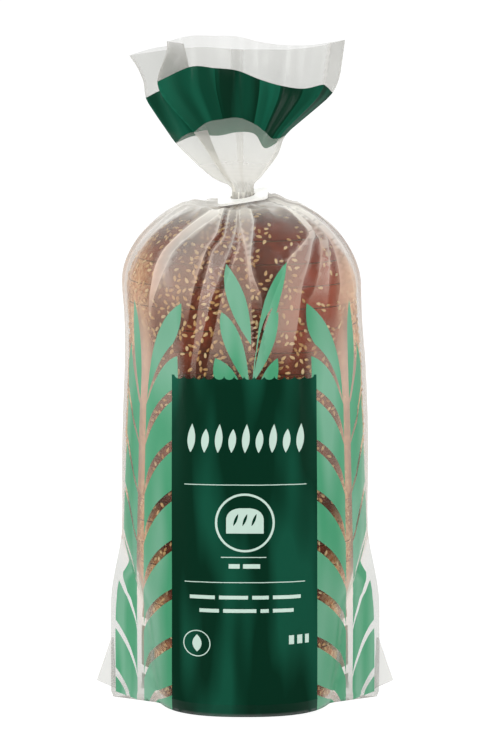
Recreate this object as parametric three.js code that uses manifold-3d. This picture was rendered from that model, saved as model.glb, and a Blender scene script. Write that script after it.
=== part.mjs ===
// A sliced loaf in a printed film bag that stands on its end.
// The bag is gathered over the loaf, held at its neck by a flat plastic tag, and fans out above it.
// Millimetres, +Z up, the printed front faces -Y. The origin is on the floor, under the middle of the loaf.
import * as THREE from "three";
import { mergeVertices } from "three/addons/utils/BufferGeometryUtils.js";
import Module from "manifold-3d";

const wasm = await Module();
wasm.setup();

// Driving sizes of the filled bag
const BAG_HALF_WIDTH = 60.2;
const BASE_HALF_WIDTH = 65.6;
const SHOULDER_HALF_WIDTH = 57.4;
const HEEL_HALF_WIDTH = 43;
const FRONT_DEPTH = 45;
const BACK_DEPTH = 41;
const SHOULDER_Z = 206;
const DOME_HEIGHT = 45.3;
const DOME_SHIFT_X = -2.2;
const FLARE_Z = [45, 100];
const HEEL_Z = [40, 90];
const UNDER_TUCK = 0.87;
const UNDER_TUCK_Z = 11;
const FRONT_WING_DEPTH = 34;
const BACK_WING_DEPTH = 22;
const CORNER_BLEND = 1.6;
const FRONT_ROUNDNESS = 2.5;
const BACK_ROUNDNESS = 3.6;

// Folds that run from the neck down over the shoulders
const FOLDS = 13;
const FOLD_DEPTH = 1.6;
const FOLD_START_Z = 150;

// The gathered neck, the tag on it and the fan above
const NECK_X = -1;
const NECK_RADIUS = 4.9;
const TAG = { width: 24.4, depth: 22, thick: 1.2, corner: 3.5, hole: 6.1, slot: 3, z: 249.8, roll: -9.5, pitch: 7 };
const SHEET_THICK = 1.2;

// The gusset corners that stick out beside the base
const EAR = { root: 54, inner: 64.4, outer: 72, low: 3.2, tip: 7.4, top: 30.4, y: 1, thick: 1 };

const AROUND = 76;
const TIP_CROWDING = 0.78;
const CAP_CORNERS = [0.18, 0.32, 0.75];
const lerp = THREE.MathUtils.lerp;
const rad = THREE.MathUtils.degToRad;
const ease = (value, low, high) => THREE.MathUtils.smoothstep(value, low, high);

// How much narrower the bag is at a height than at its middle, on the way up to the shoulder.
function shoulderTaper(z) {
  return (BAG_HALF_WIDTH - SHOULDER_HALF_WIDTH) * ease(z, 120, SHOULDER_Z);
}

// Half the width between the film's two side edges. Near the floor they stand out as thin wings.
function edgeHalfWidth(z) {
  const flare = 1 - ease(z, ...FLARE_Z);
  return lerp(BAG_HALF_WIDTH - CORNER_BLEND, BASE_HALF_WIDTH, flare) - shoulderTaper(z);
}

// Half the width of the bulge that the loaf makes in the film. It narrows to the heel at the bottom.
function loafHalfWidth(z) {
  const upper = BAG_HALF_WIDTH - HEEL_HALF_WIDTH;
  const rounding = 1 - (1 - Math.min(z / HEEL_Z[0], 1)) ** 2;
  const swell = ease(z, HEEL_Z[0] - 5, HEEL_Z[1]);
  return HEEL_HALF_WIDTH + upper * (0.3 * rounding + 0.7 * swell) - shoulderTaper(z);
}

const smoothMax = (a, b, blend) => 0.5 * (a + b + Math.hypot(a - b, blend));

// How far the folds lift the film, as a share of FOLD_DEPTH. Ridges are sharp and valleys are wide.
function foldShape(angle, lift) {
  const drift = 0.35 * Math.sin(3 * angle + 1.1) + 0.2 * Math.sin(5 * angle);
  const wave = Math.abs(Math.sin((FOLDS / 2) * (angle + 0.12 * drift)));
  return lift * (1 - wave) ** 1.5;
}

// One outline round the bag. Its points are spaced closer at the two thin side edges.
function sectionPoints({ z, loaf, edge, front, back, wings, fold, shiftX = 0, round = 1 }) {
  const points = [];
  for (let i = 0; i < AROUND; i++) {
    const turn = (2 * Math.PI * i) / AROUND;
    const angle = turn - (TIP_CROWDING * round * Math.sin(2 * turn)) / 2;
    const facesFront = Math.sin(angle) < 0;
    const [across, along] = [Math.abs(Math.cos(angle)), Math.abs(Math.sin(angle))];
    const power = lerp(2, facesFront ? FRONT_ROUNDNESS : BACK_ROUNDNESS, round);
    const bulge = ((across / loaf) ** power + (along / (facesFront ? front : back)) ** power) ** (-1 / power);
    const wing = 1 / (across / edge + along / wings[facesFront ? 0 : 1]);
    const radius = smoothMax(bulge, wing, CORNER_BLEND * round) + foldShape(angle, fold);
    points.push(new THREE.Vector3(shiftX + radius * Math.cos(angle), radius * Math.sin(angle), z));
  }
  return points;
}

// The outline at a height on the straight part of the bag. Near the floor the front and back tuck under.
function bodySection(z) {
  const tuck = lerp(UNDER_TUCK, 1, Math.sqrt(ease(z, 0, UNDER_TUCK_Z)));
  const lift = lerp(0.985, 1, ease(z, 0, 3));
  return sectionPoints({
    z,
    loaf: loafHalfWidth(z) * lift,
    edge: edgeHalfWidth(z) * lift,
    front: FRONT_DEPTH * tuck,
    back: BACK_DEPTH * tuck,
    wings: [FRONT_WING_DEPTH, BACK_WING_DEPTH],
    fold: FOLD_DEPTH * 0.6 * ease(z, FOLD_START_Z, SHOULDER_Z),
    shiftX: DOME_SHIFT_X * ease(z, 90, SHOULDER_Z),
  });
}

// The outline on the dome, at an angle up from the shoulder.
function domeSection(degrees) {
  const climb = rad(degrees);
  const shrink = Math.cos(climb);
  const squarer = shrink ** 0.8;
  return sectionPoints({
    z: SHOULDER_Z + DOME_HEIGHT * Math.sin(climb),
    loaf: SHOULDER_HALF_WIDTH * shrink,
    edge: (SHOULDER_HALF_WIDTH - CORNER_BLEND) * shrink,
    front: FRONT_DEPTH * squarer,
    back: BACK_DEPTH * squarer,
    wings: [FRONT_WING_DEPTH * shrink, BACK_WING_DEPTH * shrink],
    fold: FOLD_DEPTH * lerp(0.6, 1, ease(degrees, 0, 40)),
    shiftX: DOME_SHIFT_X,
    round: lerp(1, 0.5, ease(degrees, 30, 62)),
  });
}

// An oval outline of the gathered film: the neck, and the root of the fan above it.
// With a lean of 1 it lies in the tilted plane of the tag.
function neckSection({ z, width, depth = width, fold = 0, lean = 0, shiftX = NECK_X }) {
  const wings = [depth * 0.5, depth * 0.5];
  const oval = { z, loaf: width, edge: width * 0.9, front: depth, back: depth, wings, fold, shiftX, round: 0 };
  const points = sectionPoints(oval);
  const slope = [-Math.tan(rad(TAG.roll)), Math.tan(rad(TAG.pitch))];
  for (const point of points) point.z += lean * ((point.x - NECK_X) * slope[0] + point.y * slope[1]);
  return points;
}

// The faces that close an outline. The first is one large triangle between three of its corners.
function capFaces(outline, corners) {
  const faces = [corners];
  corners.forEach((start, k) => {
    const end = corners[(k + 1) % corners.length];
    const count = (end - start + outline.length) % outline.length;
    const arc = Array.from({ length: count + 1 }, (_, i) => (start + i) % outline.length);
    const contour = arc.map((i) => new THREE.Vector2(outline[i].x, outline[i].y));
    for (const face of THREE.ShapeUtils.triangulateShape(contour, [])) faces.push(face.map((i) => arc[i]));
  });
  return faces;
}

// A closed solid through outlines that all have the same number of points.
function loft(sections) {
  const around = sections[0].length;
  const index = [];
  for (let row = 0; row + 1 < sections.length; row++) {
    for (let i = 0; i < around; i++) {
      const next = (i + 1) % around;
      const [a, b] = [row * around + i, row * around + next];
      index.push(a, b, a + around, b, b + around, a + around);
    }
  }
  const corners = CAP_CORNERS.map((share) => Math.round(share * around));
  for (const [a, b, c] of capFaces(sections[0], corners)) index.push(a, c, b);
  const last = (sections.length - 1) * around;
  for (const [a, b, c] of capFaces(sections.at(-1), corners)) index.push(last + a, last + b, last + c);
  return closedGeometry(sections.flat().flatMap((point) => point.toArray()), index);
}

function closedGeometry(position, index) {
  const geometry = new THREE.BufferGeometry();
  geometry.setAttribute("position", new THREE.Float32BufferAttribute(position, 3));
  geometry.setIndex(index);
  return geometry;
}

// A thin sheet: both faces of a surface, split into triangles alike, with a rim round them.
function thinSheet(surface, columns, rows, thick) {
  const position = [];
  for (const side of [-0.5, 0.5]) {
    for (let row = 0; row <= rows; row++) {
      for (let column = 0; column <= columns; column++) {
        const point = surface(column / columns, row / rows);
        position.push(point.x, point.y + side * thick, point.z);
      }
    }
  }
  const wide = columns + 1;
  const other = wide * (rows + 1);
  const index = [];
  for (let row = 0; row < rows; row++) {
    for (let column = 0; column < columns; column++) {
      const a = row * wide + column;
      const [b, c, d] = [a + 1, a + wide, a + wide + 1];
      index.push(a, b, d, a, d, c, a + other, d + other, b + other, a + other, c + other, d + other);
    }
  }
  const rim = [];
  for (let column = 0; column < columns; column++) rim.push(column);
  for (let row = 0; row < rows; row++) rim.push(row * wide + columns);
  for (let column = columns; column > 0; column--) rim.push(rows * wide + column);
  for (let row = rows; row > 0; row--) rim.push(row * wide);
  rim.forEach((a, i) => {
    const b = rim[(i + 1) % rim.length];
    index.push(a, b + other, b, a, a + other, b + other);
  });
  return closedGeometry(position, index);
}

function solidOf(geometry) {
  const bare = geometry.clone();
  bare.deleteAttribute("normal");
  bare.deleteAttribute("uv");
  const merged = mergeVertices(bare, 1e-4);
  return new wasm.Manifold(
    new wasm.Mesh({
      numProp: 3,
      vertProperties: merged.attributes.position.array,
      triVerts: new Uint32Array(merged.index.array),
    }),
  );
}

function geometryOf(solid) {
  const mesh = solid.getMesh();
  return closedGeometry(Array.from(mesh.vertProperties), Array.from(mesh.triVerts));
}

// The filled bag from the floor to the root of the fan.
function filledBag() {
  const straight = [0, 1.2, 3.2, 6.5, 11, 18, 27, 36, 47, 58, 69, 80, 91, 104, 122, 142, 162, 176, 190].map(bodySection);
  const dome = [0, 12, 23, 33, 42, 50, 57, 62].map(domeSection);
  const gather = [
    { z: 246.9, width: 18, fold: 0.8, lean: 0.6, shiftX: -1.8 },
    { z: 247.6, width: 11, fold: 0.6, lean: 1 },
    { z: 248.2, width: 6.4, lean: 1 },
  ];
  const neck = [
    { z: 249.2, width: NECK_RADIUS, lean: 1 },
    { z: 254, width: NECK_RADIUS, lean: 0.4 },
    { z: 258, width: 5.6, depth: 3.6 },
    { z: 262, width: 6.6, depth: 1.5 },
  ];
  return loft([...straight, ...dome, ...gather.map(neckSection), ...neck.map(neckSection)]);
}

function fanLine(...corners) {
  const points = corners.map(([x, z]) => new THREE.Vector3(x, 0, z));
  return new THREE.CatmullRomCurve3(points, false, "centripetal");
}

// The lines that the fan's pieces run between, from the neck to the mouth, as [x, z].
const FAN_LINES = {
  leftEdge: fanLine([-3.5, 255], [-20, 262.5], [-33.1, 274.8], [-45.5, 292], [-50, 307.5], [-56.5, 317.9]),
  hiddenFold: fanLine([-2, 256], [-10, 265], [-18, 277], [-22, 292], [-24, 306], [-25, 322]),
  frontFold: fanLine([-3.5, 256], [-12, 266], [-22.4, 280], [-33.5, 293], [-41.5, 304.2], [-38, 324.2]),
  stripFold: fanLine([3, 256], [10, 263], [17.5, 276], [31, 292], [39.5, 303.5], [43, 323.6]),
  rightEdge: fanLine([3.5, 255], [11, 262.9], [18.8, 276], [36, 293], [46.2, 305.5], [49.2, 325.7]),
};

// A piece of the fan between two of its lines, waved in depth. Its mouth rises by `lift` on the left of its middle.
function fanSheet({ left, right, depth, waves, lift = 0 }) {
  return (across, up) => {
    const from = FAN_LINES[left].getPoint(up);
    const to = FAN_LINES[right].getPoint(up);
    const opening = ease(up, 0, 0.75);
    const wave = Math.sin(waves.count * Math.PI * across + waves.phase) * waves.height;
    const rise = Math.sin(Math.PI * across) + 0.8 * Math.sin(2 * Math.PI * across);
    const z = lerp(from.z, to.z, across) + lift * rise * up ** 3;
    return new THREE.Vector3(
      lerp(from.x, to.x, across) + NECK_X * (1 - opening),
      (lerp(depth[0], depth[1], across) + wave) * opening,
      z,
    );
  };
}

const FAN_SHEETS = [
  { left: "leftEdge", right: "hiddenFold", depth: [8, 14], waves: { count: 2, phase: 0, height: 3.5 }, lift: 1.6, columns: 8 },
  { left: "frontFold", right: "hiddenFold", depth: [-6, 14], waves: { count: 1, phase: 0, height: -2 }, columns: 5 },
  { left: "frontFold", right: "rightEdge", depth: [-6, 5], waves: { count: 3, phase: 0.2, height: -7 }, lift: 1.8, columns: 20 },
  { left: "stripFold", right: "rightEdge", depth: [-8, 4.2], waves: { count: 1, phase: 0, height: -1.5 }, columns: 4 },
];
const FAN_ROWS = 13;

// A gusset corner: a thin triangle that stands beside the base.
function ear(side) {
  const outline = new THREE.Shape();
  outline.moveTo(side * EAR.root, EAR.low);
  outline.lineTo(side * EAR.inner, EAR.low);
  outline.lineTo(side * EAR.outer, EAR.tip);
  outline.lineTo(side * EAR.inner, EAR.top);
  outline.lineTo(side * EAR.root, EAR.top);
  outline.closePath();
  const flap = new THREE.ExtrudeGeometry(outline, { depth: EAR.thick, bevelEnabled: false });
  return flap.rotateX(Math.PI / 2).translate(0, EAR.y, 0);
}

function bagSolid() {
  let bag = solidOf(filledBag());
  for (const sheet of FAN_SHEETS) {
    bag = bag.add(solidOf(thinSheet(fanSheet(sheet), sheet.columns, FAN_ROWS, SHEET_THICK)));
  }
  for (const side of [-1, 1]) bag = bag.add(solidOf(ear(side)));
  return bag;
}

// The tag: a flat plate with rounded corners, a round hole for the neck and a slot that leads into it.
function tagGeometry() {
  const [w, d, c] = [TAG.width / 2, TAG.depth / 2, TAG.corner];
  const mouth = Math.asin(TAG.slot / 2 / TAG.hole);
  const outline = new THREE.Shape();
  outline.moveTo(TAG.slot, d);
  outline.lineTo(w - c, d);
  outline.absarc(w - c, d - c, c, Math.PI / 2, 0, true);
  outline.absarc(w - c, c - d, c, 0, -Math.PI / 2, true);
  outline.absarc(c - w, c - d, c, -Math.PI / 2, -Math.PI, true);
  outline.absarc(c - w, d - c, c, Math.PI, Math.PI / 2, true);
  outline.lineTo(-TAG.slot, d);
  outline.absarc(0, 0, TAG.hole, Math.PI / 2 + mouth, Math.PI / 2 - mouth, false);
  outline.closePath();
  const plate = new THREE.ExtrudeGeometry(outline, { depth: TAG.thick, bevelEnabled: false, curveSegments: 8 });
  return plate.translate(0, 0, -TAG.thick / 2);
}

function finish(hex, roughness) {
  return new THREE.MeshStandardMaterial({ color: hex, roughness, metalness: 0 });
}

const part = new THREE.Group();

const bag = new THREE.Mesh(geometryOf(bagSolid()), finish(0x4f9a75, 0.3));
bag.name = "bread_bag";
part.add(bag);

const tag = new THREE.Mesh(tagGeometry(), finish(0xe9e9e4, 0.45));
tag.name = "closure_tag";
tag.position.set(NECK_X, 0, TAG.z);
tag.rotation.set(rad(TAG.pitch), rad(TAG.roll), 0);
part.add(tag);

export default part;
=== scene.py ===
"""A sliced, seeded loaf that stands in a printed film bag: film, slices, seeds and tag."""
import bisect
import math
import random
from collections import namedtuple

import bpy
from mathutils import Matrix, Vector, noise
from mathutils.bvhtree import BVHTree
from mathutils.geometry import delaunay_2d_cdt


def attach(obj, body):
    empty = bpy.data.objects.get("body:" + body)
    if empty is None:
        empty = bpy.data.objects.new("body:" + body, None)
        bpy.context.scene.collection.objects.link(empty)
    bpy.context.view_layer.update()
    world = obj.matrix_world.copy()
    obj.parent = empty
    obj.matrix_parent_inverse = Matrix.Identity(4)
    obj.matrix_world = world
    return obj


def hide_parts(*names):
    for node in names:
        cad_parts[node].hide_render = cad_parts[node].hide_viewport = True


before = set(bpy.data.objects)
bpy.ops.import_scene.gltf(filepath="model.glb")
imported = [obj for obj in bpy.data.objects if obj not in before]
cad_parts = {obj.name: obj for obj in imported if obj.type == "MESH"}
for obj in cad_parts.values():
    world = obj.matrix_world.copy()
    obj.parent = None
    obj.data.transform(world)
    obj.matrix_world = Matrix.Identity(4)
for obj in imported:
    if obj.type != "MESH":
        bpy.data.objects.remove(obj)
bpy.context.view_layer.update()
MM = 0.001

# Driving sizes of the filled bag, in millimetres and degrees. The film flares FILM_FLARE past the part
BAG_HALF_WIDTH = 60.2
BASE_HALF_WIDTH = 65.6
FILM_FLARE = 1.0
SHOULDER_HALF_WIDTH = 57.4
HEEL_HALF_WIDTH = 43.0
FRONT_DEPTH = 45.0
BACK_DEPTH = 41.0
SHOULDER_Z = 206.0
DOME_HEIGHT = 45.3
DOME_SHIFT_X = -2.2
DOME_DEGREES = 62.0
FLARE_Z = (45.0, 100.0)
HEEL_Z = (40.0, 90.0)
UNDER_TUCK = 0.87
CREASE_Z = 7.5
WINGS = (34.0, 22.0)
CORNER_BLEND = 1.6
FRONT_ROUNDNESS = 2.5
BACK_ROUNDNESS = 3.6
NECK_X = -1.0
NECK_RADIUS = 5.5
TAG_Z = 249.8
TAG_ROLL = -9.5
TAG_PITCH = 7.0

# The film as a flat sheet: q runs round the bag from the middle of the front, h runs up from the floor
FRONT_Q = 54.0
EDGE_Q = 83.0
HALF_Q = 178.0
DOME_H = SHOULDER_Z + 58.0
NECK_H = DOME_H + 22.0
TAIL_H = NECK_H + 4.0
TAIL_LENGTH = 85.0
MOUTH_H = TAIL_H + TAIL_LENGTH
TAIL_Z = 252.5

# The photograph's frame
IMAGE_SIZE = (501, 752)
MM_PER_PIXEL = 0.49
CAMERA_DISTANCE = 1600.0
CAMERA_ELEVATION = 9.2
CAMERA_TARGET = (2.7, 0.0, 161.6)


def clamp(value, low=0.0, high=1.0):
    return max(low, min(high, value))


def lerp(a, b, t):
    return a + (b - a) * t


def ease(value, low, high):
    t = clamp((value - low) / (high - low))
    return t * t * (3 - 2 * t)


def smooth_max(a, b, blend):
    return 0.5 * (a + b + math.hypot(a - b, blend))


def line_value(points, x):
    """The value at x of a line through points of (x, value)."""
    if x <= points[0][0]:
        return points[0][1]
    for (x0, v0), (x1, v1) in zip(points, points[1:]):
        if x <= x1:
            return lerp(v0, v1, (x - x0) / (x1 - x0))
    return points[-1][1]


def steps_up(low, high, step):
    """Even steps from low to high, the last one at or under high."""
    return [low + step * i for i in range(int((high - low) / step) + 1)]


# The bag's form


TAPER_START_Z = 120.0
HEEL_ROUNDING_SHARE = 0.3
FOOT_LIFT = 0.985


def shoulder_taper(z):
    return (BAG_HALF_WIDTH - SHOULDER_HALF_WIDTH) * ease(z, TAPER_START_Z, SHOULDER_Z)


def edge_half_width(z):
    flare = 1 - ease(z, *FLARE_Z)
    return lerp(BAG_HALF_WIDTH - CORNER_BLEND, BASE_HALF_WIDTH + FILM_FLARE, flare) - shoulder_taper(z)


def loaf_half_width(z):
    upper = BAG_HALF_WIDTH - HEEL_HALF_WIDTH
    rounding = 1 - (1 - min(z / HEEL_Z[0], 1)) ** 2
    swell = ease(z, HEEL_Z[0] - 5, HEEL_Z[1])
    return HEEL_HALF_WIDTH + upper * lerp(swell, rounding, HEEL_ROUNDING_SHARE) - shoulder_taper(z)


def section_radius(angle, loaf, edge, front, back, wings, roundness=1.0):
    """How far the film stands from the axis, at an angle from +X. Negative angles face the front."""
    faces_front = math.sin(angle) < 0
    across, along = abs(math.cos(angle)), abs(math.sin(angle))
    power = lerp(2, FRONT_ROUNDNESS if faces_front else BACK_ROUNDNESS, roundness)
    depth = front if faces_front else back
    bulge = ((across / loaf) ** power + (along / depth) ** power) ** (-1 / power)
    wing = 1 / (across / edge + along / wings[0 if faces_front else 1])
    return smooth_max(bulge, wing, CORNER_BLEND * roundness)


def body_radius(angle, z):
    tuck = lerp(UNDER_TUCK, 1, clamp(z / CREASE_Z))
    lift = lerp(FOOT_LIFT, 1, ease(z, 0, 3))
    return section_radius(
        angle,
        loaf_half_width(z) * lift,
        edge_half_width(z) * lift,
        FRONT_DEPTH * tuck,
        BACK_DEPTH * tuck,
        WINGS,
    )


def dome_radius(angle, degrees):
    shrink = math.cos(math.radians(degrees))
    squarer = shrink**0.8
    return section_radius(
        angle,
        SHOULDER_HALF_WIDTH * shrink,
        (SHOULDER_HALF_WIDTH - CORNER_BLEND) * shrink,
        FRONT_DEPTH * squarer,
        BACK_DEPTH * squarer,
        [wing * shrink for wing in WINGS],
        lerp(1, 0.5, ease(degrees, 30, DOME_DEGREES)),
    )


class Section:
    """One level of the straight bag: where along the film's width each angle lies."""

    STEPS = 240

    def __init__(self, z):
        right = []
        for i in range(self.STEPS + 1):
            angle = math.pi * (i / self.STEPS - 0.5)
            radius = body_radius(angle, z)
            right.append((angle, radius * math.cos(angle), radius * math.sin(angle)))
        half = self.STEPS // 2
        start = next(i for i in range(half) if right[i][1] >= FRONT_Q)
        arcs = [0.0]
        for (_, x0, y0), (_, x1, y1) in zip(right, right[1:]):
            arcs.append(arcs[-1] + math.hypot(x1 - x0, y1 - y0))
        self.angles = [point[0] for point in right]
        self.q = []
        for i, (_, x, _) in enumerate(right):
            if i < start:
                self.q.append(x)
            elif i <= half:
                share = (arcs[i] - arcs[start - 1]) / (arcs[half] - arcs[start - 1])
                self.q.append(lerp(FRONT_Q, EDGE_Q, share))
            else:
                self.q.append(lerp(EDGE_Q, HALF_Q, (arcs[i] - arcs[half]) / (arcs[-1] - arcs[half])))

    def angle(self, q):
        """The angle of the point at q. The left side mirrors the right side."""
        at = abs(q)
        i = min(max(bisect.bisect_right(self.q, at), 1), self.STEPS)
        t = clamp((at - self.q[i - 1]) / max(self.q[i] - self.q[i - 1], 1e-9))
        angle = lerp(self.angles[i - 1], self.angles[i], t)
        return angle if q >= 0 else -math.pi - angle


SECTION_STEP = 2.0
SECTIONS = [Section(i * SECTION_STEP) for i in range(int(SHOULDER_Z / SECTION_STEP) + 1)]


def film_angle(q, h):
    """The direction from the bag's axis in which the film's point lies."""
    level = clamp(h / SECTION_STEP, 0, len(SECTIONS) - 1)
    low = min(int(level), len(SECTIONS) - 2)
    return lerp(SECTIONS[low].angle(q), SECTIONS[low + 1].angle(q), level - low)


def axis_x(z):
    return DOME_SHIFT_X * ease(z, 165, 225)


def tag_plane(x, y):
    """How much higher than at its middle the tilted tag is at x, y."""
    return -math.tan(math.radians(TAG_ROLL)) * (x - NECK_X) + math.tan(math.radians(TAG_PITCH)) * y


# The fan above the tag: one column for each soft wave or crisp fold of its mouth.
# Each column: mouth x, y, z; how far up the band of print starts and ends; crisp fold; swing to the right

Column = namedtuple("Column", "x y z band_foot band_top crisp swing")
FAN = [Column(*values) for values in (
    (-4.0, 9.0, 321.5, 0.412, 0.706, False, 0.0),
    (-22.0, 13.0, 322.3, 0.380, 0.697, False, 0.0),
    (-40.0, 8.0, 321.0, 0.390, 0.690, False, 0.0),
    (-57.0, 8.0, 318.6, 0.349, 0.677, True, 0.0),
    (-46.0, 3.0, 322.2, 0.396, 0.704, False, 0.0),
    (-30.0, 5.0, 324.5, 0.411, 0.696, True, 0.0),
    (-38.0, -9.0, 326.4, 0.390, 0.727, True, -9.0),
    (-27.0, -6.0, 328.9, 0.440, 0.793, False, -3.0),
    (-16.0, -13.0, 329.4, 0.463, 0.787, False, 0.0),
    (-4.0, -8.0, 328.8, 0.472, 0.773, False, 0.0),
    (8.0, -14.0, 326.4, 0.452, 0.746, False, 0.0),
    (19.0, -8.0, 324.6, 0.408, 0.718, False, 0.0),
    (31.0, -14.0, 325.0, 0.360, 0.699, False, 0.0),
    (41.0, -10.0, 326.0, 0.353, 0.715, True, 0.0),
    (48.4, -1.0, 326.7, 0.367, 0.643, True, 0.0),
    (38.0, 9.0, 323.4, 0.322, 0.650, False, 0.0),
    (24.0, 4.0, 321.8, 0.303, 0.659, False, 0.0),
    (10.0, 12.0, 321.2, 0.397, 0.697, False, 0.0),
    (-4.0, 9.0, 321.5, 0.412, 0.706, False, 0.0),
)]
LEFT_CORNER = FAN[3]
RIGHT_CORNER = FAN[14]

# How far the fan has opened at its left and right corners: (share of its height, share of its width)
FAN_LEFT_SPREAD = [
    (0, 0.088), (0.08, 0.24), (0.188, 0.39), (0.341, 0.578), (0.543, 0.746),
    (0.674, 0.849), (0.79, 0.856), (0.92, 0.924), (1, 1),
]
FAN_RIGHT_SPREAD = [
    (0, 0.08), (0.02, 0.09), (0.142, 0.239), (0.239, 0.35), (0.369, 0.408),
    (0.473, 0.594), (0.577, 0.78), (0.641, 0.886), (0.745, 0.948), (1, 1),
]


def fan_positions():
    """Where along the film's width each column of the fan lies, by the length of its mouth."""
    lengths = [0.0]
    for a, b in zip(FAN, FAN[1:]):
        lengths.append(lengths[-1] + math.hypot(b.x - a.x, b.y - a.y))
    return [-HALF_Q + 2 * HALF_Q * length / lengths[-1] for length in lengths]


FAN_Q = fan_positions()


def spread(points, w):
    """A spread of the fan, rounded between its measured heights."""
    return (line_value(points, w - 0.04) + line_value(points, w) * 2 + line_value(points, w + 0.04)) / 4


def fan_column(index, w):
    """The point of a column of the fan at w, from 0 at the tag to 1 at the mouth."""
    column = FAN[index]
    side = (column.x - LEFT_CORNER.x) / (RIGHT_CORNER.x - LEFT_CORNER.x)
    opened = lerp(spread(FAN_LEFT_SPREAD, w), spread(FAN_RIGHT_SPREAD, w), side)
    bulge = column.swing * ease(w, 0.25, 0.72) * (1 - ease(w, 0.72, 1.0))
    x = NECK_X + (column.x - NECK_X) * opened + bulge
    return Vector((x, column.y * ease(w, 0.0, 0.85), lerp(TAIL_Z, column.z, w)))


def fan_strip(q):
    """The strip of the fan that q lies in, by the number of its left column."""
    return min(max(bisect.bisect_right(FAN_Q, q) - 1, 0), len(FAN) - 2)


def across_fan(q, value):
    """A value of the fan at q, from its columns: a soft curve that breaks at the crisp folds."""
    i = fan_strip(q)
    width = FAN_Q[i + 1] - FAN_Q[i]
    t = (q - FAN_Q[i]) / width
    start, end = value(i), value(i + 1)

    def slope(j):
        if FAN[j].crisp:
            return (end - start) / width
        if 0 < j < len(FAN) - 1:
            return (value(j + 1) - value(j - 1)) / (FAN_Q[j + 1] - FAN_Q[j - 1])
        gap = FAN_Q[1] - FAN_Q[0] + FAN_Q[-1] - FAN_Q[-2]
        return (value(1) - value(len(FAN) - 2)) / gap

    leave, arrive = slope(i) * width, slope(i + 1) * width
    t2, t3 = t * t, t * t * t
    straight = start * (2 * t3 - 3 * t2 + 1) + end * (3 * t2 - 2 * t3)
    return straight + leave * (t3 - 2 * t2 + t) + arrive * (t3 - t2)


# Folds that run from the gathered neck down over the loaf, as they lie on the front. Each fold: points
# (q, h) from the top down, how far it stands out, and how milky the film is from it to the next fold;
# on the ink that milk also paints lighter facets, as if lit

Fold = namedtuple("Fold", "points crest milk")
FRONT_FOLDS = [
    ([(-51.8, 250), (-52.4, 231), (-52.8, 212), (-57.0, 194)], 0.6, 0.12),
    ([(-27.0, 262), (-36.4, 245), (-41, 233), (-42.4, 223.5), (-42.8, 213), (-44.8, 200)], 0.2, 0.62),
    ([(-16.0, 255), (-26, 244), (-33.4, 233), (-35.8, 221.5), (-38.6, 212), (-43.6, 198)], 2.2, 0.3),
    ([(-13.9, 245), (-17.8, 236), (-20.2, 223), (-24.3, 203), (-31.5, 171)], -0.2, 0.0),
    ([(-9.3, 242), (-15.0, 234.6), (-16.2, 223), (-20.5, 203), (-25.9, 172)], -0.2, 0.2),
    ([(-2.0, 250), (-3.7, 239), (-9.4, 219), (-14.6, 203), (-23.2, 174)], 1.4, 0.0),
    ([(-1.6, 246), (-0.4, 238), (-5.9, 219), (-10.5, 203), (-18.1, 174)], -0.2, 0.2),
    ([(-1.2, 256), (2.5, 238), (3.6, 227), (4.8, 207)], 0.2, 0.34),
    ([(8.7, 252), (6.4, 239), (4.9, 228), (5.9, 219), (9.8, 207)], 2.2, 0.02),
    ([(43.0, 244), (24.6, 229), (16.6, 210.6), (9.4, 191), (6.4, 181)], 0.0, 0.3),
    ([(44.3, 242), (38.5, 237), (28.6, 214.5), (25.2, 193), (20.6, 172)], 1.9, 0.03),
    ([(46.5, 240.5), (40.7, 226), (35.1, 210), (31, 203)], -0.2, 0.22),
    ([(49.7, 241), (46.1, 232), (42.4, 217), (41, 204)], 1.5, 0.02),
    ([(51.6, 237), (49.0, 223), (47.5, 209), (45.6, 201.5)], -0.2, 0.34),
    ([(53.6, 241), (53.0, 221), (53.6, 200.5)], 1.6, 0.3),
]
FOLD_FADE = (10.0, 30.0)
SIDE_FOLD_STEP = (7.0, 12.0)


def all_folds():
    """The front's folds, and others like them round the sides and the back, each from its foot up."""
    random.seed(23)
    folds = [Fold(points[::-1], crest, milk) for points, crest, milk in FRONT_FOLDS]
    for side in (-1, 1):
        at = 60.0
        ridge = True
        while at < HALF_Q - 4:
            foot = at + random.uniform(-3.0, 3.0)
            points = [(side * foot, random.uniform(165, 195)), (side * at, random.uniform(225, 245))]
            crest = random.uniform(0.5, 1.0 if at < 110 else 1.9) if ridge else -0.3
            folds.append(Fold(points, crest, random.choice((0.05, 0.12, 0.2, 0.32))))
            ridge = not ridge
            at += random.uniform(*SIDE_FOLD_STEP)
    for seam in (-HALF_Q, HALF_Q):
        folds.append(Fold([(seam, 180.0), (seam, 240.0)], 0.4, 0.15))
    return sorted(folds, key=lambda fold: fold_q(fold, FOLD_ORDER_H))


def fold_q(fold, h):
    """Where along the film's width a fold lies at a height."""
    return line_value([(level, q) for q, level in fold.points], h)


FOLD_ORDER_H = 225.0
FOLDS = all_folds()
FOLD_ROWS = 4.0
FOLD_LOW = 150.0


def fold_foot(index):
    return FOLDS[index].points[0][1]


def fold_crest(index, h):
    """How far a fold stands out at a height: it fades at its foot and at the gathered neck."""
    foot = fold_foot(index)
    grown = ease(h, foot - FOLD_FADE[0], foot + FOLD_FADE[1])
    return FOLDS[index].crest * grown * (1 - 0.7 * ease(h, 250, DOME_H))


FOLD_TABLE = {}


def fold_row(h):
    """The places of all the folds at a height, from a table with rows of heights."""
    key = int(h / FOLD_ROWS)
    for k in (key, key + 1):
        if k not in FOLD_TABLE:
            FOLD_TABLE[k] = [fold_q(fold, k * FOLD_ROWS) for fold in FOLDS]
    t = h / FOLD_ROWS - key
    return [lerp(a, b, t) for a, b in zip(FOLD_TABLE[key], FOLD_TABLE[key + 1])]


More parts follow.
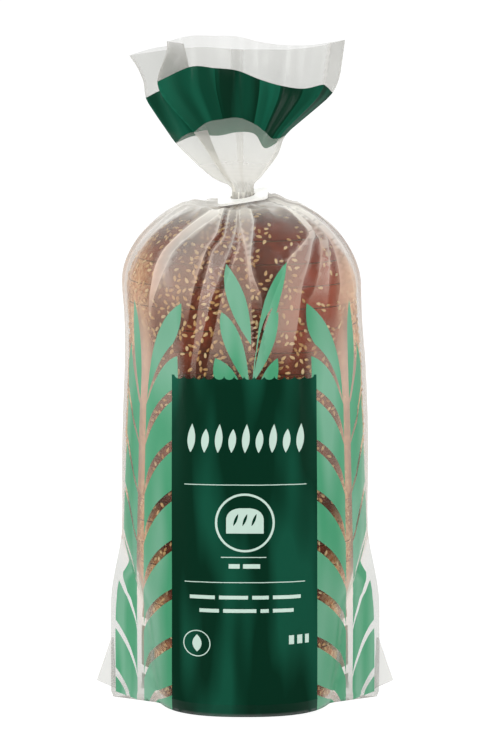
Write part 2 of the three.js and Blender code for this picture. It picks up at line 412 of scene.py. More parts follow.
def between_folds(q, h):
    """The fold to the left of the point at q, h and how far the point is on the way to the next one."""
    row = fold_row(h)
    i = min(max(bisect.bisect_right(row, q) - 1, 0), len(row) - 2)
    return i, clamp((q - row[i]) / max(row[i + 1] - row[i], 1e-6))


def fold_relief(q, h):
    if h < FOLD_LOW or h > DOME_H + 6:
        return 0.0
    i, t = between_folds(q, h)
    return lerp(fold_crest(i, h), fold_crest(i + 1, h), t)


# How milky the film looks, and the painted light and shade of the fan's strips. Of a pair, the first value
# is the one lower on the bag

FAN_MILK = (0.36, 0.12)
FOLDED_STRIP_MILK = {5: 0.4, 13: 0.16}
GATHER_MILK = 0.3
STEM_HAZE = (0.42, 0.28)
GAP_HAZE = (0.14, 0.26)
SIDE_HAZE = 0.06
SEAM_HAZE = 0.3
TOP_HAZE = 0.08
FOOT_HAZE = 0.22
FAN_PAINTED_LIGHT = (1, 1, 1, 0.05, 0.1, 0.4, 0.1, 0.1, -0.2, -0.2, 0.3, -0.1, 0.15, -0.12, 1, 1, 1, 1)

# Where, along the film's width, the back starts and the seam's haze begins and is full
BACK_FROM_Q = 95.0
SEAM_EDGE = (173.0, 174.5)


def milkiness(q, h):
    """How milky the film looks for its doubled folds and its gathers, from 0 to 1. On the ink it also
    paints lighter facets, as if lit.
    """
    if h > TAIL_H:
        folded = FOLDED_STRIP_MILK.get(fan_strip(q), 0.0)
        return lerp(*FAN_MILK, ease(h, TAIL_H, TAIL_H + 28)) + folded
    if h < FOLD_LOW:
        return 0.0
    i, _ = between_folds(q, h)
    foot = fold_foot(i)
    milk = FOLDS[i].milk * ease(h, foot - 12, foot + 14)
    return clamp(milk + GATHER_MILK * ease(h, 250, 266))


def haze(q, h):
    """The film's even haze: along the stems, in the upper gaps, at the sides, the seam and both ends."""
    across = abs(q) if abs(q) < BACK_FROM_Q else HALF_Q - abs(q)
    stems = math.exp(-(((across - stem(h)[0]) / 4.5) ** 2)) * (1 - ease(h, 185, 225))
    gaps = ease(across, 28, 34) * (1 - ease(across, 52, 57)) * ease(h, 95, 135) * (1 - ease(h, 172, 205))
    sides = ease(across, 55, 61) * (1 - ease(h, 200, 235))
    seam = ease(abs(q), *SEAM_EDGE)
    top = ease(h, 232, 250) * (1 - ease(h, DOME_H, NECK_H)) * ease(across, 14, 34)
    foot = (1 - ease(h, 3, 15)) * ease(across, 36, 40)
    print_haze = lerp(*STEM_HAZE, ease(h, 50, 75)) * stems + lerp(*GAP_HAZE, ease(h, 140, 165)) * gaps
    return print_haze + SIDE_HAZE * sides + SEAM_HAZE * seam + TOP_HAZE * top + FOOT_HAZE * foot


def painted_band_light(q, h):
    """Painted light and shade on the band of print: how much lighter or darker it is painted, strip by
    strip of the fan.
    """
    return FAN_PAINTED_LIGHT[fan_strip(q)] if h >= TAIL_H else 0.0


# The film's form, part by part from the floor up

PLEATS = 17
PLEAT_DEPTH = 1.2
NECK_TOP_Z = TAG_Z - 1.6


def pleat(angle):
    """Sharp folds of the gathered film, from 0 in the valleys to 1 on the ridges."""
    drift = 0.3 * math.sin(3 * angle + 1.1) + 0.22 * math.sin(5 * angle) + 0.15 * math.sin(8 * angle + 2)
    return 1 - abs(math.sin(0.5 * PLEATS * angle + 1.4 * drift))


def outwards(angle):
    return Vector((math.cos(angle), math.sin(angle), 0))


def ripple(q, h):
    """The soft ripples of the straight part of the film."""
    broad = noise.noise(Vector((q / 13, h / 95, 4)))
    fine = noise.noise(Vector((q / 6, h / 60, 9)))
    return (0.35 * broad + 0.2 * fine) * ease(h, 6, 30)


def body_point(q, h):
    """The straight part, filled by the loaf."""
    angle = film_angle(q, h)
    lift = fold_relief(q, h) + ripple(q, h)
    return outwards(angle) * (body_radius(angle, h) + lift) + Vector((axis_x(h), 0, h))


def dome_point(q, h):
    """The domed top. Its height along the film is a climb in degrees."""
    angle = film_angle(q, SHOULDER_Z)
    out = outwards(angle)
    degrees = DOME_DEGREES * (h - SHOULDER_Z) / (DOME_H - SHOULDER_Z)
    climb = math.radians(degrees)
    z = SHOULDER_Z + DOME_HEIGHT * math.sin(climb)
    lift = PLEAT_DEPTH * pleat(angle) * ease(degrees, 44, DOME_DEGREES) + fold_relief(q, h)
    point = out * dome_radius(angle, degrees) + Vector((axis_x(z), 0, z))
    return point + (out * math.cos(climb) + Vector((0, 0, math.sin(climb)))) * lift


def neck_point(q, h):
    """The pleated film that gathers from the dome to the tag and leans with it."""
    angle = film_angle(q, SHOULDER_Z)
    fold = pleat(angle)
    t = (h - DOME_H) / (NECK_H - DOME_H)
    radius = lerp(dome_radius(angle, DOME_DEGREES), NECK_RADIUS, t**0.85)
    centre = Vector((lerp(DOME_SHIFT_X, NECK_X, t), 0, 0))
    point = outwards(angle) * radius * (1 - 0.12 * t * (1 - fold)) + centre
    dome_top = SHOULDER_Z + DOME_HEIGHT * math.sin(math.radians(DOME_DEGREES))
    point.z = lerp(dome_top, NECK_TOP_Z, ease(t, 0, 1)) + ease(t, 0, 0.5) * tag_plane(point.x, point.y)
    point.z += PLEAT_DEPTH * fold * (1 - ease(t, 0.35, 0.8))
    return point


def tail_point(q, h):
    """The bunched film within the tag, and the fan that opens above it."""
    angle = film_angle(q, SHOULDER_Z)
    bunch = outwards(angle) * (NECK_RADIUS * (0.78 + 0.22 * pleat(angle)))
    if h <= TAIL_H:
        t = (h - NECK_H) / (TAIL_H - NECK_H)
        point = bunch + Vector((NECK_X, 0, 0))
        point.z = lerp(NECK_TOP_Z, TAIL_Z, t) + (1 - t) * tag_plane(point.x, point.y)
        return point
    w = (h - TAIL_H) / TAIL_LENGTH
    fan = across_fan(q, lambda i: fan_column(i, w))
    return fan.lerp(bunch + Vector((NECK_X, 0, fan.z)), 1 - ease(w, 0.0, 0.09))


def film_point(q, h):
    """Where the film's point at q, h lies in space."""
    for top, part_point in ((SHOULDER_Z, body_point), (DOME_H, dome_point), (NECK_H, neck_point)):
        if h <= top:
            return part_point(q, h)
    return tail_point(q, h)


# The print on the film, drawn as it is seen from the front: q and h in millimetres

PANEL_LEFT = ((-34.9, 168.8), (-35.6, 6.6))
PANEL_RIGHT = ((34.3, 168.8), (35.3, 6.6))
PANEL_TOP = 168.8
TUCKED_H = -20.0
SCALLOPS = 14
SCALLOP_DROP = 1.8
SCALLOP_MARGIN = 1.2
LEAF_PITCH = 24.4
TOP_GAP = 159.2
GAPS = 7
GAP_DROP = 25.0
GAP_INNER_Q = 34.2
STEM_TOP = (48.8, 1.5)
STEM_FOOT = (51.8, 1.9)


def curve(start, bend, end, steps=12):
    """Points on a soft curve that is drawn towards its bend."""
    a, b, c = Vector(start), Vector(bend), Vector(end)
    return [a.lerp(b, i / steps).lerp(b.lerp(c, i / steps), i / steps) for i in range(steps + 1)]


def leaf(root, tip, belly, back):
    """A pointed leaf from root to tip. belly and back are the bends of its two sides."""
    return curve(root, belly, tip) + curve(tip, back, root)[1:-1]


def circle(centre, radius, steps):
    turns = [math.tau * i / steps for i in range(steps)]
    return [Vector((centre[0] + radius * math.cos(a), centre[1] + radius * math.sin(a))) for a in turns]


def bar(x0, x1, middle, thick):
    low, high = middle - thick / 2, middle + thick / 2
    return [Vector(p) for p in ((x0, low), (x1, low), (x1, high), (x0, high))]


def panel_outline():
    """The dark panel, with small scallops along its top and its foot tucked under the bag."""
    left, right = PANEL_LEFT, PANEL_RIGHT
    corners = ((left[1][0], TUCKED_H), (right[1][0], TUCKED_H), right[1], right[0])
    points = [Vector(corner) for corner in corners]
    start, end = right[0][0] - SCALLOP_MARGIN, left[0][0] + SCALLOP_MARGIN
    half = (start - end) / SCALLOPS / 2
    for i in range(SCALLOPS):
        middle = start - half * (2 * i + 1)
        for k in range(7):
            turn = math.pi * k / 6
            drop = SCALLOP_DROP * math.sin(turn)
            points.append(Vector((middle + half * math.cos(turn), PANEL_TOP - drop)))
    return points + [Vector(left[0]), Vector(left[1])]


def stem(h):
    """Half the distance between the stems, and half a stem's width."""
    t = clamp((160 - h) / 120)
    return lerp(STEM_TOP[0], STEM_FOOT[0], t), lerp(STEM_TOP[1], STEM_FOOT[1], t)


def mirrored(side, outline):
    return [Vector((side * q, h)) for q, h in outline]


def outer_bound(h):
    """How far out the outer leaves reach: less on the upper part of the bag."""
    return lerp(78.0, 60.5, ease(h, 25, 165))


def frond_shapes(side):
    """A tall frond: two rows of broad leaves, parted by thin clear gaps, along a clear stem."""
    shapes = []
    levels = steps_up(0, 153, 9)
    inner_mass = [(32.0, 177.8), (32.0, -1.0)]
    inner_mass += [(stem(h)[0] - stem(h)[1], h) for h in levels]
    inner_mass += curve((47.2, 153.0), (41.5, 174.5), (32.0, 177.8))[1:-1]
    shapes.append(("leaf", mirrored(side, inner_mass)))
    tip = (28.6, 203.4) if side < 0 else (30.8, 203.4)
    first = curve((47.2, 149.0), (46.6, 193.0), tip) + curve(tip, (28.8, 192.0), (34.0, 183.5))[1:]
    first += curve((34.0, 183.5), (42.8, 175.0), (46.9, 156.0))[1:]
    shapes.append(("leaf", mirrored(side, first)))
    outer_mass = [(stem(h)[0] + stem(h)[1], h) for h in levels]
    outer_mass += curve((50.4, 151.0), (54.0, 171.0), (55.2, 182.0))[1:]
    outer_mass += [(outer_bound(h), h) for h in reversed(steps_up(3, 173, 10))]
    shapes.append(("leaf", mirrored(side, outer_mass)))
    outer = curve((50.2, 155.0), (48.6, 188.0), (51.3, 203.0))
    outer += curve((51.3, 203.0), (54.6, 179.0), (50.2, 155.0))[1:]
    shapes.append(("leaf", mirrored(side, outer)))
    for i in range(GAPS):
        level = TOP_GAP - LEAF_PITCH * i
        foot = level - GAP_DROP
        at, half = stem(foot)
        edge = GAP_INNER_Q
        gap = curve((edge, level + 2.7), (at - half - 1.2, level - 6.0), (at - half, foot + 1.0))
        gap += curve((at - half, foot - 1.0), (at - half - 4.4, level - 9.8), (edge, level - 2.7))
        shapes.append(("clear", mirrored(side, gap)))
        top = level + 3.0
        far = outer_bound(level) + 1.0
        gap = curve((far, top), (at + half + (far - at) * 0.35, level - 5.0), (at + half, foot + 1.0))
        bend = (at + half + (far - at) * 0.42, level - 8.0)
        gap += curve((at + half, foot - 1.0), bend, (far, top - 4.4))
        shapes.append(("clear", mirrored(side, gap)))
    return shapes


# The leaves that rise from behind the panel: root, tip and the bends of the two sides

CENTRE_LEAVES = [
    ((0.0, 143.0), (-13.9, 177.5), (1.5, 172.0), (-19.2, 163.0)),
    ((3.0, 143.0), (15.8, 177.5), (5.0, 171.0), (17.8, 161.0)),
    ((2.0, 163.0), (-9.8, 199.6), (1.2, 193.0), (-14.6, 187.0)),
    ((3.5, 165.0), (17.0, 199.7), (5.5, 194.0), (16.8, 183.0)),
    ((3.4, 184.0), (-6.8, 225.6), (5.6, 208.0), (-11.4, 206.0)),
    ((4.4, 169.0), (23.5, 226.6), (8.0, 212.0), (15.5, 192.0)),
]


def print_shapes():
    """(finish, outline) of each printed shape. A later one lies over an earlier one."""
    shapes = []
    for side in (-1, 1):
        shapes += frond_shapes(side)
    for root, tip, belly, back in CENTRE_LEAVES:
        shapes.append(("leaf", leaf(root, tip, belly, back)))
    shapes.append(("clear", leaf((4.6, 171.0), (14.8, 202.0), (7.6, 195.5), (9.4, 192.0))))
    shapes.append(("dark", panel_outline()))
    shapes += panel_ornaments()
    return shapes + back_shapes()


def to_back(side, outline):
    """A shape that is drawn from the middle of the back outwards, set on one half of the back."""
    return [Vector((side * (HALF_Q - x), h)) for x, h in outline]


BACK_PANEL = 35.0
BACK_RULES = (140.0, 68.0, 30.0)
BACK_SEAM = 4.5
BACK_ROW_ENDS = (28.0, 25.5, 27.0, 22.0, 28.0, 24.0, 26.5, 16.0)


def back_shapes():
    """The back: the same fronds, beside a dark panel with rules, dashes and a grain on each half."""
    shapes = []
    for side in (-1, 1):
        for finish, outline in frond_shapes(1):
            shapes.append((finish, to_back(side, outline)))
        panel = [(0, TUCKED_H), (BACK_PANEL, TUCKED_H), (BACK_PANEL, PANEL_TOP), (0, PANEL_TOP)]
        shapes.append(("dark", to_back(side, panel)))
        for h in BACK_RULES:
            shapes.append(("pale", to_back(side, bar(BACK_SEAM + 2, 28.0, h, 0.5))))
        for row, reach in enumerate(BACK_ROW_ENDS):
            h = 131.0 - 7.2 * row
            middle = 14.0 + 2.5 * (row % 3)
            shapes.append(("pale", to_back(side, bar(BACK_SEAM + 2, middle, h, 1.7))))
            shapes.append(("pale", to_back(side, bar(middle + 2.0, reach, h, 1.7))))
        grain = leaf((17.0, 40.0), (17.0, 58.0), (10.5, 49.0), (23.5, 49.0))
        shapes.append(("pale", to_back(side, grain)))
    return shapes


def panel_ornaments():
    """Plain pale shapes on the panel: grains, thin rules, a ring with a loaf and rows of dashes."""
    shapes = []
    for i in range(9):
        x = -26.0 + 6.5 * i
        height = 14.0 if i % 2 == 0 else 11.6
        tip = (x + 1.0, 131.6 + height)
        shapes.append(("pale", leaf((x, 131.6), tip, (x - 3.2, 137.6), (x + 4.1, 137.6))))
    for x0, x1, z in ((-29, 29.5, 116.0), (-11.5, 10.3, 80.6), (-29, 29, 68.2)):
        shapes.append(("pale", bar(x0, x1, z, 0.42)))
    ring = (0.0, 97.5)
    shapes.append(("pale", circle(ring, 14.4, 48)))
    shapes.append(("dark", circle(ring, 13.3, 48)))
    shapes.append(("pale", loaf_icon(ring)))
    for k in (-1, 0, 1):
        slash = (ring[0] + 4.4 * k, ring[1] + 1.4)
        shapes.append(("dark", leaf(
            (slash[0] - 1.2, slash[1] - 3.0), (slash[0] + 1.2, slash[1] + 3.0),
            (slash[0] - 1.2, slash[1] + 0.6), (slash[0] + 1.2, slash[1] - 0.6),
        )))
    for x0, x1 in ((-7.8, -2.5), (-0.9, 7.3)):
        shapes.append(("pale", bar(x0, x1, 76.2, 2.2)))
    upper_row = ((-26.5, -14.5), (-12.5, 1.5), (3.5, 11.5), (13.5, 27))
    lower_row = ((-22, -12.5), (-10.5, 5.5), (7.5, 11.5), (13.5, 23.5))
    for row, runs in ((60.8, upper_row), (54.2, lower_row)):
        for x0, x1 in runs:
            shapes.append(("pale", bar(x0, x1, row, 1.8)))
    small = (-23.2, 37.6)
    shapes.append(("pale", circle(small, 6.6, 36)))
    shapes.append(("dark", circle(small, 6.1, 36)))
    shapes.append(("pale", leaf((small[0], small[1] - 4.2), (small[0], small[1] + 4.4),
                                (small[0] - 4.4, small[1]), (small[0] + 4.4, small[1]))))
    for x0, x1 in ((21.2, 23.7), (25.3, 27.8), (29.1, 30.9)):
        shapes.append(("pale", bar(x0, x1, 39.4, 4.4)))
    return shapes


def loaf_icon(ring):
    """A plain loaf seen from its side, in a ring."""
    low, high = ring[1] - 5.2, ring[1] + 2.2
    outline = [Vector((ring[0] - 9.0, low)), Vector((ring[0] + 9.0, low)), Vector((ring[0] + 9.0, high))]
    outline += curve((ring[0] + 9.0, high), (ring[0] + 8.0, high + 5.4), (ring[0], high + 5.0), 6)[1:]
    outline += curve((ring[0], high + 5.0), (ring[0] - 8.0, high + 5.4), (ring[0] - 9.0, high), 6)[1:]
    return outline


BAND_STEPS = 120


def band_outline():
    """The dark band round the fan, from seam to seam and back."""
    across = [lerp(-HALF_Q, HALF_Q, i / BAND_STEPS) for i in range(BAND_STEPS + 1)]
    foot = [(q, across_fan(q, lambda j: FAN[j].band_foot)) for q in across]
    top = [(q, across_fan(q, lambda j: FAN[j].band_top)) for q in reversed(across)]
    return [Vector((q, TAIL_H + TAIL_LENGTH * w)) for q, w in foot + top]


# The film


def inside(point, outline):
    """True if a point lies in a closed outline."""
    x, y = point
    hit = False
    for a, b in zip(outline, outline[1:] + outline[:1]):
        if (a[1] > y) != (b[1] > y) and x < a[0] + (y - a[1]) / (b[1] - a[1]) * (b[0] - a[0]):
            hit = not hit
    return hit


FINISHES = ["clear", "leaf", "dark", "pale"]
CLEAR = FINISHES.index("clear")
DARK = FINISHES.index("dark")

# How finely the flat film is cut: steps in millimetres, and how many points lie across it
EDGE_STEP = 1.6
CLEARANCE = 0.85
BODY_STEP = 2.4
DOME_STEP = 1.7
FAN_STEP = 2.0
FOLD_STEP = 3.0
SHEET_COLUMNS = 170
FOOT_CREASE_STEPS = 60
SEAM_MARGIN = 2.0
WING_TOP = 101.0


def upright(q, low, high, step):
    """A straight cut line up the film."""
    return [(q, h) for h in steps_up(low, high, step)]


def crease_lines():
    """The film's sharp creases: its folds, that round its foot, the fan's crisp ones and the wing tips."""
    lines = []
    for index in range(1, len(FOLDS) - 1):
        low = max(FOLD_LOW, fold_foot(index) - FOLD_FADE[0])
        lines.append([(fold_row(h)[index], h) for h in steps_up(low, DOME_H, FOLD_STEP)])
    reach = HALF_Q - SEAM_MARGIN
    shares = [i / FOOT_CREASE_STEPS for i in range(FOOT_CREASE_STEPS + 1)]
    lines.append([(lerp(-reach, reach, share), CREASE_Z) for share in shares])
    for index, column in enumerate(FAN):
        if column.crisp:
            lines.append(upright(FAN_Q[index], TAIL_H + 12, MOUTH_H, FAN_STEP))
    for side in (-1, 1):
        lines.append(upright(side * EDGE_Q, 0.0, WING_TOP, BODY_STEP))
    return lines


def soft_lines():
    """Lines that the film is cut along but not creased: the sides' edges, and the fan's soft columns."""
    lines = []
    for side in (-1, 1):
        lines.append(upright(side * EDGE_Q, WING_TOP + 2.2, SHOULDER_Z + 1, BODY_STEP))
    for index, column in enumerate(FAN[1:-1], 1):
        if not column.crisp:
            lines.append(upright(FAN_Q[index], TAIL_H + 14, MOUTH_H, FAN_STEP))
    return lines


def film_sheet():
    """The flat film, cut along its print and its folds: points, triangles, finishes, creases."""
    shapes = print_shapes()
    shapes.append(("dark", band_outline()))
    points, edges = [], []

    def add(outline, closed=True):
        ends = outline[1:] + outline[:1] if closed else outline[1:]
        base = len(points)
        for a, b in zip(outline, ends):
            steps = max(1, math.ceil((Vector(b) - Vector(a)).length / EDGE_STEP))
            points.extend(Vector(a).lerp(Vector(b), k / steps) for k in range(steps))
        if not closed:
            points.append(Vector(outline[-1]))
        last = len(points) - base if closed else len(points) - base - 1
        count = len(points) - base
        edges.extend((base + i, base + (i + 1) % count) for i in range(last))

    for _, outline in shapes:
        add(outline)
    creases = len(edges)
    for line in crease_lines():
        add(line, False)
    creases = range(creases, len(edges))
    for line in soft_lines():
        add(line, False)
    rows = steps_up(0, SHOULDER_Z, BODY_STEP)
    rows += steps_up(SHOULDER_Z + DOME_STEP / 2, TAIL_H, DOME_STEP)
    rows += steps_up(TAIL_H, MOUTH_H, FAN_STEP)
    taken = {}
    for p in points:
        taken.setdefault((int(p.x // CLEARANCE), int(p.y // CLEARANCE)), []).append(p)

    def crowded(spot):
        i, j = int(spot.x // CLEARANCE), int(spot.y // CLEARANCE)
        near = (p for di in (-1, 0, 1) for dj in (-1, 0, 1) for p in taken.get((i + di, j + dj), ()))
        return any((p - spot).length < CLEARANCE for p in near)

    for r, h in enumerate(rows):
        shift = 0.5 if r % 2 else 0.0
        border = h in (rows[0], rows[-1])
        for i in range(SHEET_COLUMNS + 1):
            q = -HALF_Q + 2 * HALF_Q * min((i + (0 if border else shift)) / SHEET_COLUMNS, 1.0)
            if i == 0:
                q = -HALF_Q
            spot = Vector((q, h))
            if border or abs(q) > HALF_Q - 0.1 or not crowded(spot):
                points.append(spot)
    corners = len(points)
    top = rows[-1]
    points.extend(Vector(p) for p in ((-HALF_Q, 0), (HALF_Q, 0), (HALF_Q, top), (-HALF_Q, top)))
    edges.extend((corners + i, corners + (i + 1) % 4) for i in range(4))
    flat, flat_edges, faces, _, edge_source, _ = delaunay_2d_cdt(points, edges, [], 0, 0.02)
    sharp = [edge for edge, made_of in zip(flat_edges, edge_source) if any(i in creases for i in made_of)]
    kept, kinds = sheet_finishes(flat, faces, shapes, top)
    return flat, kept, kinds, sharp


def sheet_finishes(flat, faces, shapes, top):
    """The triangles that lie on the sheet, and the finish of each: that of the last shape it lies in."""
    boxes = []
    for finish, outline in shapes:
        xs, ys = [p[0] for p in outline], [p[1] for p in outline]
        boxes.append((min(xs), max(xs), min(ys), max(ys), outline, FINISHES.index(finish)))
    kept, kinds = [], []
    for face in faces:
        middle = flat_middle(flat, face)
        if not (-HALF_Q < middle[0] < HALF_Q and 0 < middle[1] < top):
            continue
        kind = CLEAR
        for x0, x1, y0, y1, outline, finish in boxes:
            if x0 <= middle[0] <= x1 and y0 <= middle[1] <= y1 and inside(middle, outline):
                kind = finish
        kept.append(face)
        kinds.append(kind)
    return kept, kinds


def flat_middle(flat, face):
    return sum((flat[i] for i in face), Vector((0, 0))) / len(face)


def mesh_piece(name, points, faces):
    """A new object from points in millimetres."""
    mesh = bpy.data.meshes.new(name)
    mesh.from_pydata([Vector(p) * MM for p in points], [], faces)
    mesh.validate()
    piece = bpy.data.objects.new(name, mesh)
    bpy.context.scene.collection.objects.link(piece)
    return piece


def select_only(piece):
    bpy.ops.object.select_all(action="DESELECT")
    piece.select_set(True)
    bpy.context.view_layer.objects.active = piece


def apply_modifiers(piece):
    select_only(piece)
    for modifier in list(piece.modifiers):
        bpy.ops.object.modifier_apply(modifier=modifier.name)


BASE_STEP = 4.0
BASE_PRINT_Y = -9.0


def base_patch(rim):
    """The flat underside within the film's lowest edge: points, triangles and finishes."""
    outline = [Vector((p.x, p.y)) for p in rim]
    points = list(outline)
    edges = [(i, (i + 1) % len(rim)) for i in range(len(rim))]
    for i in range(-16, 17):
        for j in range(-11, 11):
            spot = Vector((i + (0.5 if j % 2 else 0.0), j)) * BASE_STEP
            if inside(spot, outline):
                points.append(spot)
    flat, _, faces, *_ = delaunay_2d_cdt(points, edges, [], 1, 1e-4)
    finishes = []
    for face in faces:
        x, y = flat_middle(flat, face)
        finishes.append(DARK if abs(x) < PANEL_RIGHT[1][0] and y < BASE_PRINT_Y else CLEAR)
    lifted = [Vector((p[0], p[1], 0.0)) for p in flat]
    for p in lifted:
        rim_gap = min((p.xy - q).length for q in outline)
        crease = abs(((p.x * 0.35 + p.y) / 14.0) % 2 - 1)
        p.z = min(rim_gap * 0.12, 0.8) * (0.35 + 0.65 * crease)
    return lifted, faces, finishes


# The gusset's corners: the ends of the inner edge, and how far out and up the outer edge lies
EAR_ROOT = (Vector((64.0, 0.4, 3.2)), Vector((65.2, 0.0, 30.2)))
EAR_REACH = [(0, 64.6), (0.16, 74.0), (1, 66.4)]
EAR_RISE = [(0, 3.2), (0.16, 7.4), (1, 30.2)]
EAR_ROWS = 6
EAR_COLUMNS = 3


def ear(side):
    """A clear corner of the gusset, that stands out beside the base."""
    points, faces = [], []
    for i in range(EAR_ROWS + 1):
        t = i / EAR_ROWS
        inner = EAR_ROOT[0].lerp(EAR_ROOT[1], t)
        outer = Vector((line_value(EAR_REACH, t), lerp(3.5, 0.2, t), line_value(EAR_RISE, t)))
        for k in range(EAR_COLUMNS + 1):
            p = inner.lerp(outer, k / EAR_COLUMNS)
            points.append(Vector((p.x * side, p.y + 0.5 * math.sin(3 * t + k), p.z)))
    for i in range(EAR_ROWS):
        for k in range(EAR_COLUMNS):
            a = i * (EAR_COLUMNS + 1) + k
            above = a + EAR_COLUMNS + 1
            face = (a, a + 1, above + 1, above)
            faces.append(face if side > 0 else face[::-1])
    return points, faces


def add_values(mesh, name, domain, values):
    """One number for each point or face, for the finishes."""
    mesh.attributes.new(name, "FLOAT", domain)
    mesh.attributes[name].data.foreach_set("value", values)


PLAIN_MILK = 0.4
# A painted glint: a thin white line added to the haze along each crease, on the dome's upper part
PAINTED_CREASE_GLINT = 0.32
PAINTED_CREASE_GLINT_H = (198.0, 240.0)
# Where the gathered neck starts and ends: there the clear film is painted paler and its bumps soften
GATHER_START_H = (236.0, 258.0)
GATHER_END_H = (TAIL_H + 20.0, TAIL_H + 50.0)
# Painted crust-coloured light: where the clear film lies this close to the loaf, and up to these heights,
# its haze takes a painted warm glow
CRUST_GLOW_GAP = (2.0, 8.0)
CRUST_GLOW_END_Z = (234.0, 247.0)
FULL_STANDOFF = 12.0
FAR_FROM_LOAF = 0.03
UV_SIZE = 400.0


def add_film_values(mesh, sheet, distances):
    """What the finishes read: two values of each face, and four of each point."""
    flat, faces, _, sharp = sheet
    middles = [flat_middle(flat, face) for face in faces]
    other_faces = len(mesh.polygons) - len(faces)
    milk = [milkiness(q, h) for q, h in middles] + [PLAIN_MILK] * other_faces
    # The painted light and shade of the fan's strips, which the ink's finish reads as light
    light = [painted_band_light(q, h) for q, h in middles] + [0.0] * other_faces
    add_values(mesh, "milk", "FACE", milk)
    add_values(mesh, "light", "FACE", light)
    heights = [vertex.co.z / MM for vertex in mesh.vertices]
    standoff = [clamp(far / FULL_STANDOFF) for far in distances]
    # A painted warm glow of the crust in the clear film's haze, strongest where the film lies close to the
    # loaf
    painted_crust_glow = [
        (1 - ease(far, *CRUST_GLOW_GAP)) * (1 - ease(z, *CRUST_GLOW_END_Z)) for z, far in zip(heights, distances)
    ]
    add_values(mesh, "standoff", "POINT", standoff)
    add_values(mesh, "painted_crust_glow", "POINT", painted_crust_glow)
    other_points = [0.0] * (len(mesh.vertices) - len(flat))
    hazes_and_glints = [haze(q, h) for q, h in flat] + other_points
    # Painted glints: thin white lines added to the haze along the creases
    for i in {i for edge in sharp for i in edge}:
        hazes_and_glints[i] += PAINTED_CREASE_GLINT * ease(flat[i][1], *PAINTED_CREASE_GLINT_H)
    gather = [ease(h, *GATHER_START_H) * (1 - ease(h, *GATHER_END_H)) for _, h in flat] + other_points
    add_values(mesh, "haze", "POINT", hazes_and_glints)
    add_values(mesh, "gather", "POINT", gather)


def build_film(loaf_tree):
    """The whole film: the sheet round the loaf, its underside and the two corners of its gusset."""
    sheet = film_sheet()
    flat, faces, finishes, sharp = sheet
    points = [film_point(clamp(q, -HALF_Q, HALF_Q), clamp(h, 0, MOUTH_H)) for q, h in flat]
    sheet_uv = [(q / UV_SIZE + 0.5, h / UV_SIZE) for q, h in flat]
    all_faces = [tuple(face) for face in faces]
    all_finishes = list(finishes)

    def add_part(part_points, part_faces, part_finishes, part_uv):
        base = len(points)
        points.extend(part_points)
        sheet_uv.extend(part_uv)
        all_faces.extend(tuple(base + i for i in face) for face in part_faces)
        all_finishes.extend(part_finishes)

    on_rim = [i for i, (q, h) in enumerate(flat) if h < 1e-3 and q < HALF_Q - 1e-3]
    rim = [points[i] for i in sorted(on_rim, key=lambda i: flat[i][0])]
    base_points, base_faces, base_finishes = base_patch(rim)
    base_uv = [(p.x / UV_SIZE + 0.5, -0.1 + p.y / UV_SIZE) for p in base_points]
    add_part(base_points, [face[::-1] for face in base_faces], base_finishes, base_uv)
    for side in (-1, 1):
        ear_points, ear_faces = ear(side)
        ear_uv = [(0.9 + p.x / UV_SIZE, p.z / UV_SIZE) for p in ear_points]
        add_part(ear_points, ear_faces, [CLEAR] * len(ear_faces), ear_uv)

    film = mesh_piece("bag_film", points, all_faces)
    mesh = film.data
    mesh.polygons.foreach_set("material_index", all_finishes)
    corners = [0] * len(mesh.loops)
    mesh.loops.foreach_get("vertex_index", corners)
    uv = mesh.uv_layers.new(name="sheet")
    uv.data.foreach_set("uv", [value for i in corners for value in sheet_uv[i]])
    creased = {tuple(sorted(edge)) for edge in sharp}
    for edge in mesh.edges:
        edge.use_edge_sharp = tuple(sorted(edge.vertices)) in creased
    distances = [(loaf_tree.find_nearest(point * MM)[3] or FAR_FROM_LOAF) / MM for point in points]
    add_film_values(mesh, sheet, distances)
    select_only(film)
    bpy.ops.object.mode_set(mode="EDIT")
    bpy.ops.mesh.select_all(action="SELECT")
    bpy.ops.mesh.remove_doubles(threshold=0.00002)
    bpy.ops.mesh.select_all(action="DESELECT")
    bpy.ops.object.mode_set(mode="OBJECT")
    bpy.ops.object.shade_smooth()
    return film


# The loaf

LOAF_GAP = 1.4
LOAF_TOP = 244.5
LOAF_FOOT = 1.2
SLICE = 10.5
SLICE_LINE = 0.8
SLICES = 23
HALF_CUT = 0.22

# The loaf's start: a flat block, with the rounding of its long edges at the front and at the back
START_HEIGHT = 4.0
START_HALF_WIDTH = HEEL_HALF_WIDTH - 5.0
START_DEPTH = FRONT_DEPTH + BACK_DEPTH - 14.0
START_MIDDLE_Y = (BACK_DEPTH - FRONT_DEPTH) / 2
EDGE_ROUNDINGS = ((-1, 29.0), (1, 20.0))

# Then it is drawn up through levels of height and growth: the straight part and the dome
BODY_LEVELS = (
    (12, 1.0), (28, 1.02), (45, 1.08), (62, 1.14), (80, 1.10), (100, 1.03), (150, 1.0), (190, 0.99),
)
TOP_LEVELS = ((212, 0.99), (224, 0.96), (233, 0.91), (240, 0.84), (LOAF_TOP, 0.62))


def loaf_limit(angle, z):
    """How far from the bag's axis the crust may reach so that the film clears it."""
    across, along = abs(math.cos(angle)), abs(math.sin(angle))
    front = math.sin(angle) < 0
    depth = FRONT_DEPTH if front else BACK_DEPTH
    power = FRONT_ROUNDNESS if front else BACK_ROUNDNESS
    if z <= SHOULDER_Z:
        depth *= lerp(UNDER_TUCK, 1, clamp(z / CREASE_Z))
        wide = loaf_half_width(max(z, 0))
        return ((across / wide) ** power + (along / depth) ** power) ** (-1 / power) - LOAF_GAP
    rise = (z - SHOULDER_Z) / (DOME_HEIGHT - 3.5)
    degrees = math.degrees(math.asin(clamp(rise, 0, 0.999)))
    return dome_radius(angle, degrees) - LOAF_GAP - 2.6 * ease(degrees, 0, 35)


